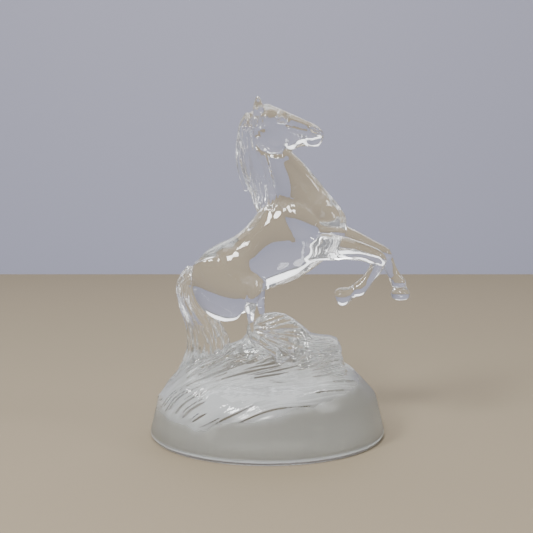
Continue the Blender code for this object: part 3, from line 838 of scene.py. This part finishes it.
def streak_run(spots):
    """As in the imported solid: phases of the swept and of the fanned streaks, and the fanned ones' share."""
    x, y, z = spots[:, 0], spots[:, 1], table_height(spots)
    scaled = np.column_stack((x, y, z)) * WARP_SCALE
    warp = np.array([noise.noise(Vector(spot)) for spot in scaled]) * STREAK_WARP
    sweep = STREAK_RISE * x - STREAK_BEND_AHEAD * np.maximum(x, 0.0) ** 2
    sweep -= STREAK_BEND_BEHIND * np.minimum(x - STREAK_BEND_START, 0.0) ** 2
    level = z - STREAK_FALL * np.abs(y) - sweep + warp
    fan = FAN_STREAKS * np.arctan2(z - FAN_HEIGHT, np.maximum(x - FAN_X, 1.0)) + FAN_WARP * warp
    on_wall = ramp(*FAN_START_HIGH, z) * ramp(*FAN_START_AHEAD, x)
    return level, fan, on_wall


def streak_rock(spots, normals, reach):
    """Carves the rock: a share of the solid's broad streaks, and finer ones that run with them."""
    found = np.flatnonzero(reach > 0.001)
    part = spots[found]
    level, fan, on_wall = streak_run(part)
    broad = (1 - on_wall) * np.sin(level) + on_wall * np.sin(fan)
    broad = np.sign(broad) * np.abs(broad) ** STREAK_ROUNDNESS
    deep = (broad - STREAK_SINK) * (1 - WALL_CALM * on_wall) * STREAK_DEPTH
    run = level * (1 - on_wall) + fan * on_wall
    along = ripples(part * (0.16, 0.16, 0.5), 9.0, 11)
    middling = MIDDLING_DEPTH * ridges(MIDDLING_TURNS * run + 1.2 * along)
    fine = FINE_DEPTH * ridges(FINE_TURNS * run + 2.3 * along)
    patch = np.clip(0.7 + 0.45 * ripples(part * (0.4, 0.7, 1.0), 12.0, 5), 0.25, 1.0)
    deep = BROAD_SHARE * deep + patch * (middling + fine - 1.0) * (1 - on_wall)
    high = table_height(part)
    spread = ramp(5.0, 16.0, np.hypot(part[:, 0] - FAN_X, high - FAN_HEIGHT))
    fanned = FAN_DEPTH * ridges(FAN_TURNS * fan + 0.3 * along)
    fanned += FINE_FAN_DEPTH * ridges(FINE_FAN_TURNS * fan + 0.5 * along)
    deep += on_wall * spread * (fanned - 0.8)
    # shallower on the far side, and on the mound's outline
    deep *= 1 - (1 - near_share(part)) * ramp(36.0, 40.0, high)
    deep *= 1 - 0.8 * on_wall * ramp(0.75, 0.35, np.abs(normals[found, 1]))
    # the lowest streaks have shallow valleys
    deep = np.maximum(deep, -LOW_STREAK_FLOOR - ramp(*LOW_STREAK_TOP, high))
    spots[found] += normals[found] * (deep * reach[found])[:, None]
    return spots


def cut_lip(spots, plain):
    """A shallow groove round the dome, above the polished lip that it stands on."""
    over = (table_height(spots) - LIP_GROOVE) / LIP_GROOVE_WIDTH
    sink = LIP_GROOVE_DEPTH * np.exp(-(over ** 2)) * plain
    away = np.linalg.norm(spots[:, :2], axis=1)
    share = np.where(away > 0.9 * BASE_RADIUS / UNIT, 1 - sink / np.maximum(away, 1.0), 1.0)
    return spots * np.column_stack((share, share, np.ones(len(spots))))


def write_spots(data, spots):
    """Moves the points of the mesh to places in units."""
    lift = np.array((0.0, 0.0, LEDGE_HEIGHT))
    data.vertices.foreach_set("co", (spots * UNIT + lift).astype(np.float32).ravel())
    data.update()


def figurine_mesh():
    """The whole casting, in metres."""
    flesh = bmesh.new()
    add_flesh(flesh)
    body = fused("flesh", flesh, FLESH_GRAIN, FLESH_SOFTENING)
    whole = bmesh.new()
    whole.from_mesh(body)
    add_fine_forms(whole)
    data = fused("figurine", whole, FUSE_GRAIN, FUSE_SOFTENING)

    edges = read_rows(data.edges, "vertices", 2, np.int32)
    spots = (read_rows(data.vertices, "co", 3).astype(float) - (0.0, 0.0, LEDGE_HEIGHT)) / UNIT
    mane, tail = mane_reach(spots), tail_reach(spots)
    hair = np.clip(mane + tail, 0.0, 1.0)
    rock = rock_reach(spots) * (1 - hair)
    spots = relax(spots, edges, 1 - HAIR_HOLD * hair, SKIN_ROUNDS)
    plain = (1 - rock) * ramp(34.0, 31.0, table_height(spots))
    spots = relax(spots, edges, plain, WALL_ROUNDS)
    spots = cut_lip(spots, plain)
    write_spots(data, spots)
    spots = cut_strokes(spots, mesh_normals(data))
    write_spots(data, spots)
    normals = mesh_normals(data)
    spots = comb(spots, normals, MANE, 1, mane, MANE_STRAND_WIDTH, MANE_STRAND_DEPTH)
    spots = comb(spots, normals, TAIL, 2, tail, TAIL_STRAND_WIDTH, TAIL_STRAND_DEPTH)
    spots = streak_rock(spots, normals, rock)
    spots = relax(spots, edges, np.full(len(spots), RELIEF_PULL), RELIEF_ROUNDS)
    spots = relax(spots, edges, rock, ROCK_ROUNDS)
    write_spots(data, spots)
    return data


def ground_flat(data):
    """Cuts the casting off at the table and closes its underside."""
    mesh = bmesh.new()
    mesh.from_mesh(data)
    everything = mesh.verts[:] + mesh.edges[:] + mesh.faces[:]
    bmesh.ops.bisect_plane(mesh, geom=everything, plane_co=(0, 0, 0), plane_no=(0, 0, 1), clear_inner=True)
    rim = [e for e in mesh.edges if e.is_boundary]
    under = bmesh.ops.holes_fill(mesh, edges=rim)["faces"]
    bmesh.ops.triangulate(mesh, faces=under)
    mesh.to_mesh(data)
    mesh.free()


def thin_out(thing, count):
    """Brings the mesh down to its number of triangles."""
    thing.data.calc_loop_triangles()
    thinner = thing.modifiers.new("thin_out", "DECIMATE")
    thinner.ratio = min(count / len(thing.data.loop_triangles), 1.0)
    graph = bpy.context.evaluated_depsgraph_get()
    data = bpy.data.meshes.new_from_object(thing.evaluated_get(graph))
    thing.modifiers.clear()
    thing.data = data


def new_material(name):
    """A material with its node tree and its one shader."""
    material = bpy.data.materials.new(name)
    material.use_nodes = True
    return material, material.node_tree, material.node_tree.nodes["Principled BSDF"]


def add_noise(tree, scale, detail, low, high):
    """A map of smooth noise between two values, in the object's own coordinates."""
    where = tree.nodes.new("ShaderNodeTexCoord")
    cloud = tree.nodes.new("ShaderNodeTexNoise")
    cloud.inputs["Scale"].default_value = scale
    cloud.inputs["Detail"].default_value = detail
    fit = tree.nodes.new("ShaderNodeMapRange")
    fit.inputs["From Min"].default_value = 0.3
    fit.inputs["From Max"].default_value = 0.7
    fit.inputs["To Min"].default_value = low
    fit.inputs["To Max"].default_value = high
    tree.links.new(where.outputs["Object"], cloud.inputs["Vector"])
    tree.links.new(cloud.outputs["Fac"], fit.inputs["Value"])
    return fit.outputs["Result"]


def add_bump(tree, shader, height, distance, strength):
    """Gives the shader a fine relief from a map of heights."""
    bump = tree.nodes.new("ShaderNodeBump")
    bump.inputs["Distance"].default_value = distance
    bump.inputs["Strength"].default_value = strength
    tree.links.new(height, bump.inputs["Height"])
    tree.links.new(bump.outputs["Normal"], shader.inputs["Normal"])


def feed(tree, socket, value):
    """Gives a socket a value: a number, or what comes from another socket."""
    if isinstance(value, float):
        socket.default_value = value
    else:
        tree.links.new(value, socket)


def mix(tree, share, low, high):
    """A value between two others, by the share of the second."""
    blend = tree.nodes.new("ShaderNodeMix")
    tree.links.new(share, blend.inputs["Factor"])
    feed(tree, blend.inputs["A"], low)
    feed(tree, blend.inputs["B"], high)
    return blend.outputs["Result"]


def maths(tree, kind, first, second):
    """The result of one operation, such as ADD or MULTIPLY, on two values, each a number or a socket."""
    node = tree.nodes.new("ShaderNodeMath")
    node.operation = kind
    feed(tree, node.inputs[0], first)
    feed(tree, node.inputs[1], second)
    return node.outputs["Value"]


def fade(tree, value, start, stop):
    """0 where the value is at start, 1 where it is at stop, and eased between them."""
    fit = tree.nodes.new("ShaderNodeMapRange")
    fit.interpolation_type = "SMOOTHSTEP"
    fit.inputs["From Min"].default_value = min(start, stop)
    fit.inputs["From Max"].default_value = max(start, stop)
    fit.inputs["To Min"].default_value = float(start > stop)
    fit.inputs["To Max"].default_value = float(start < stop)
    tree.links.new(value, fit.inputs["Value"])
    return fit.outputs["Result"]


def frost_and_shade_share(tree):
    """How frosted the dome is: 1 on its plain wall, fading to 0 in the carving and on the polished lip. The
    same share sets how far the painted shade is tinted into the base's glass.
    """
    where = tree.nodes.new("ShaderNodeTexCoord")
    split = tree.nodes.new("ShaderNodeSeparateXYZ")
    tree.links.new(where.outputs["Object"], split.inputs["Vector"])
    rise = maths(tree, "MULTIPLY", maths(tree, "MAXIMUM", split.outputs["X"], PLAIN_TURN * UNIT), PLAIN_RISE)
    over = maths(tree, "SUBTRACT", split.outputs["Z"], rise)
    over = maths(tree, "ADD", over, add_noise(tree, 70.0, 2.0, -FROST_WAVER * UNIT, FROST_WAVER * UNIT))
    start, stop = FROST_FADE
    wall = fade(tree, over, (PLAIN_HEIGHT + start) * UNIT, (PLAIN_HEIGHT + stop) * UNIT)
    lip = fade(tree, split.outputs["Z"], (LIP_GROOVE - LIP_FADE) * UNIT, LIP_GROOVE * UNIT)
    return maths(tree, "MULTIPLY", wall, lip)


def clear_glass():
    """Polished lead glass with a trace of handling on it."""
    material, tree, shader = new_material("clear_crystal")
    shader.inputs["Base Color"].default_value = (0.985, 0.99, 0.992, 1.0)
    shader.inputs["Transmission Weight"].default_value = 1.0
    shader.inputs["IOR"].default_value = GLASS_IOR
    tree.links.new(add_noise(tree, 90.0, 3.0, 0.0, 0.015), shader.inputs["Roughness"])
    add_bump(tree, shader, add_noise(tree, 160.0, 2.0, 0.0, 1.0), 0.00002, 0.4)
    return material


def base_glass():
    """The glass of the base: clear in the carving, fading into a satin acid-frosted finish on the plain wall.
    Its colour is painted shade: a grey tint in the carving, and a dark warm tint on the frosted wall that
    stands in for the shaded table seen through it.
    """
    material, tree, shader = new_material("frosted_crystal_painted_shade")
    shader.inputs["Transmission Weight"].default_value = 0.95
    shader.inputs["IOR"].default_value = GLASS_IOR
    frost_and_shade = frost_and_shade_share(tree)
    satin = add_noise(tree, 60.0, 5.0, 0.30, 0.38)
    tree.links.new(mix(tree, frost_and_shade, 0.06, satin), shader.inputs["Roughness"])
    # painted shade: the glass is tinted grey in the carving and darkens to a dark warm brown tint on the
    # frosted wall
    painted_shade_tint = tree.nodes.new("ShaderNodeValToRGB")
    painted_shade_tint.color_ramp.elements[0].color = (0.75, 0.76, 0.755, 1.0)
    painted_shade_tint.color_ramp.elements[1].color = (0.205, 0.19, 0.15, 1.0)
    tree.links.new(frost_and_shade, painted_shade_tint.inputs["Fac"])
    tree.links.new(painted_shade_tint.outputs["Color"], shader.inputs["Base Color"])
    grain = add_noise(tree, 2200.0, 2.0, 0.0, 1.0)
    add_bump(tree, shader, mix(tree, frost_and_shade, 0.5, grain), 0.00003, 0.4)
    return material


def ground_glass():
    """The underside, ground flat: white and matt."""
    material, tree, shader = new_material("ground_crystal")
    shader.inputs["Base Color"].default_value = (0.88, 0.90, 0.90, 1.0)
    shader.inputs["Transmission Weight"].default_value = 0.4
    shader.inputs["IOR"].default_value = GLASS_IOR
    tree.links.new(add_noise(tree, 400.0, 4.0, 0.5, 0.7), shader.inputs["Roughness"])
    add_bump(tree, shader, add_noise(tree, 3000.0, 2.0, 0.0, 1.0), 0.00004, 0.5)
    return material


def make_figurine():
    """The casting in its three finishes: polished above, frosted on the base, ground underneath."""
    data = figurine_mesh()
    ground_flat(data)
    figurine = bpy.data.objects.new("crystal_horse_glass", data)
    bpy.context.scene.collection.objects.link(figurine)
    thin_out(figurine, FACET_COUNT)
    data = figurine.data
    data.materials.clear()
    for make in (clear_glass, base_glass, ground_glass):
        data.materials.append(make())
    centres = read_rows(data.polygons, "center", 3)
    facing = read_rows(data.polygons, "normal", 3)
    finish = np.where(centres[:, 2] < BASE_GLASS_TOP, FROSTED, CLEAR)
    finish[(centres[:, 2] < LIP_HEIGHT / 4) & (facing[:, 2] < GROUND_FACING)] = GROUND
    data.polygons.foreach_set("material_index", finish.astype(np.int32))
    data.shade_smooth()
    data.set_sharp_from_angle(angle=SHARP_EDGE)
    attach(figurine, "root")
    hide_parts("crystal_horse")


# The studio: a warm table top, a cool wall behind it and soft lights
TABLE_DROP = 0.0001
TABLE_EDGE = 0.69
TABLE_HALF = 1.6
WALL_PLACE = 1.1
WALL_HALF = 2.4
WALL_FOOT = -0.6
WALL_TOP = 0.52
TABLE_COLOUR = (0.20, 0.165, 0.115, 1.0)
WALL_COLOUR = (0.385, 0.385, 0.48, 1.0)
STAGE_SPECULAR = 0.1
ROOM_COLOUR = (0.93, 0.94, 1.0, 1.0)
ROOM_STRENGTH = 0.4

# Lights: name, place, width, height, power, colour. All are aimed at the figurine.
LIGHT_AIM = Vector((0.0, 0.0, 0.08))
LIGHTS = [
    ("window_left", (-0.62, -0.60, 0.80), 0.24, 0.28, 13.0, (1.0, 1.0, 1.0)),
    ("window_right", (-0.20, -0.72, 0.86), 0.24, 0.28, 13.0, (1.0, 1.0, 1.0)),
    ("side_light", (0.80, -0.30, 0.55), 0.20, 0.34, 3.0, (0.95, 0.97, 1.0)),
    ("back_light", (0.0, 1.05, 1.05), 1.8, 0.9, 15.0, (0.97, 0.98, 1.0)),
    ("ceiling_light", (0.0, 0.0, 1.5), 1.4, 1.0, 12.0, (1.0, 0.99, 0.97)),
]


def staged_plane(name, corners, colour, roughness):
    """A plain surface of the studio, which isn't part of the object."""
    data = bpy.data.meshes.new(name)
    data.from_pydata(corners, [], [(0, 1, 2, 3)])
    material, _, shader = new_material(name)
    shader.inputs["Base Color"].default_value = colour
    shader.inputs["Roughness"].default_value = roughness
    shader.inputs["Specular IOR Level"].default_value = STAGE_SPECULAR
    data.materials.append(material)
    plane = bpy.data.objects.new(name, data)
    bpy.context.scene.collection.objects.link(plane)


def add_softbox(name, place, width, height, power, colour):
    """An area light at a place, aimed at the figurine."""
    light = bpy.data.lights.new(name, "AREA")
    light.shape = "RECTANGLE"
    light.size = width
    light.size_y = height
    light.energy = power
    light.color = colour
    box = bpy.data.objects.new(name, light)
    box.location = place
    box.rotation_euler = (LIGHT_AIM - Vector(place)).to_track_quat("-Z", "Y").to_euler()
    bpy.context.scene.collection.objects.link(box)


def add_studio():
    """The table, the wall, the lights and the light of the room."""
    staged_plane("table", [
        (-TABLE_HALF, -TABLE_HALF, -TABLE_DROP), (TABLE_HALF, -TABLE_HALF, -TABLE_DROP),
        (TABLE_HALF, TABLE_EDGE, -TABLE_DROP), (-TABLE_HALF, TABLE_EDGE, -TABLE_DROP),
    ], TABLE_COLOUR, 0.7)
    staged_plane("wall", [
        (-WALL_HALF, WALL_PLACE, WALL_FOOT), (WALL_HALF, WALL_PLACE, WALL_FOOT),
        (WALL_HALF, WALL_PLACE, WALL_TOP), (-WALL_HALF, WALL_PLACE, WALL_TOP),
    ], WALL_COLOUR, 0.9)
    for light in LIGHTS:
        add_softbox(*light)
    world = bpy.data.worlds.new("room")
    world.use_nodes = True
    background = world.node_tree.nodes["Background"]
    background.inputs["Color"].default_value = ROOM_COLOUR
    background.inputs["Strength"].default_value = ROOM_STRENGTH
    bpy.context.scene.world = world


# The camera stands where the photograph's base ellipse, table edge and horse agree
CAMERA_PLACE = (-0.0004, -0.488, 0.135)
CAMERA_PITCH = math.radians(6.1)
PHOTO_SIDE = 533
FOCAL_PIXELS = 1000.0
SENSOR = 36.0
NEAREST_SEEN = 0.02

# Surfaces that light may cross: in all, and by mirroring or by passing through
ALL_BOUNCES = 48
GLASS_BOUNCES = 32


def add_camera():
    """The camera, with the photograph's angle of view."""
    lens = bpy.data.cameras.new("camera")
    lens.sensor_width = SENSOR
    lens.lens = SENSOR * FOCAL_PIXELS / PHOTO_SIDE
    lens.clip_start = NEAREST_SEEN
    camera = bpy.data.objects.new("camera", lens)
    camera.location = CAMERA_PLACE
    camera.rotation_euler = (math.pi / 2 - CAMERA_PITCH, 0.0, 0.0)
    bpy.context.scene.collection.objects.link(camera)
    bpy.context.scene.camera = camera


def let_light_through():
    """Lets light cross as many surfaces as solid glass with this much carving needs."""
    cycles = bpy.context.scene.cycles
    cycles.max_bounces = ALL_BOUNCES
    cycles.glossy_bounces = GLASS_BOUNCES
    cycles.transmission_bounces = GLASS_BOUNCES


add_camera()
let_light_through()
make_figurine()
add_studio()
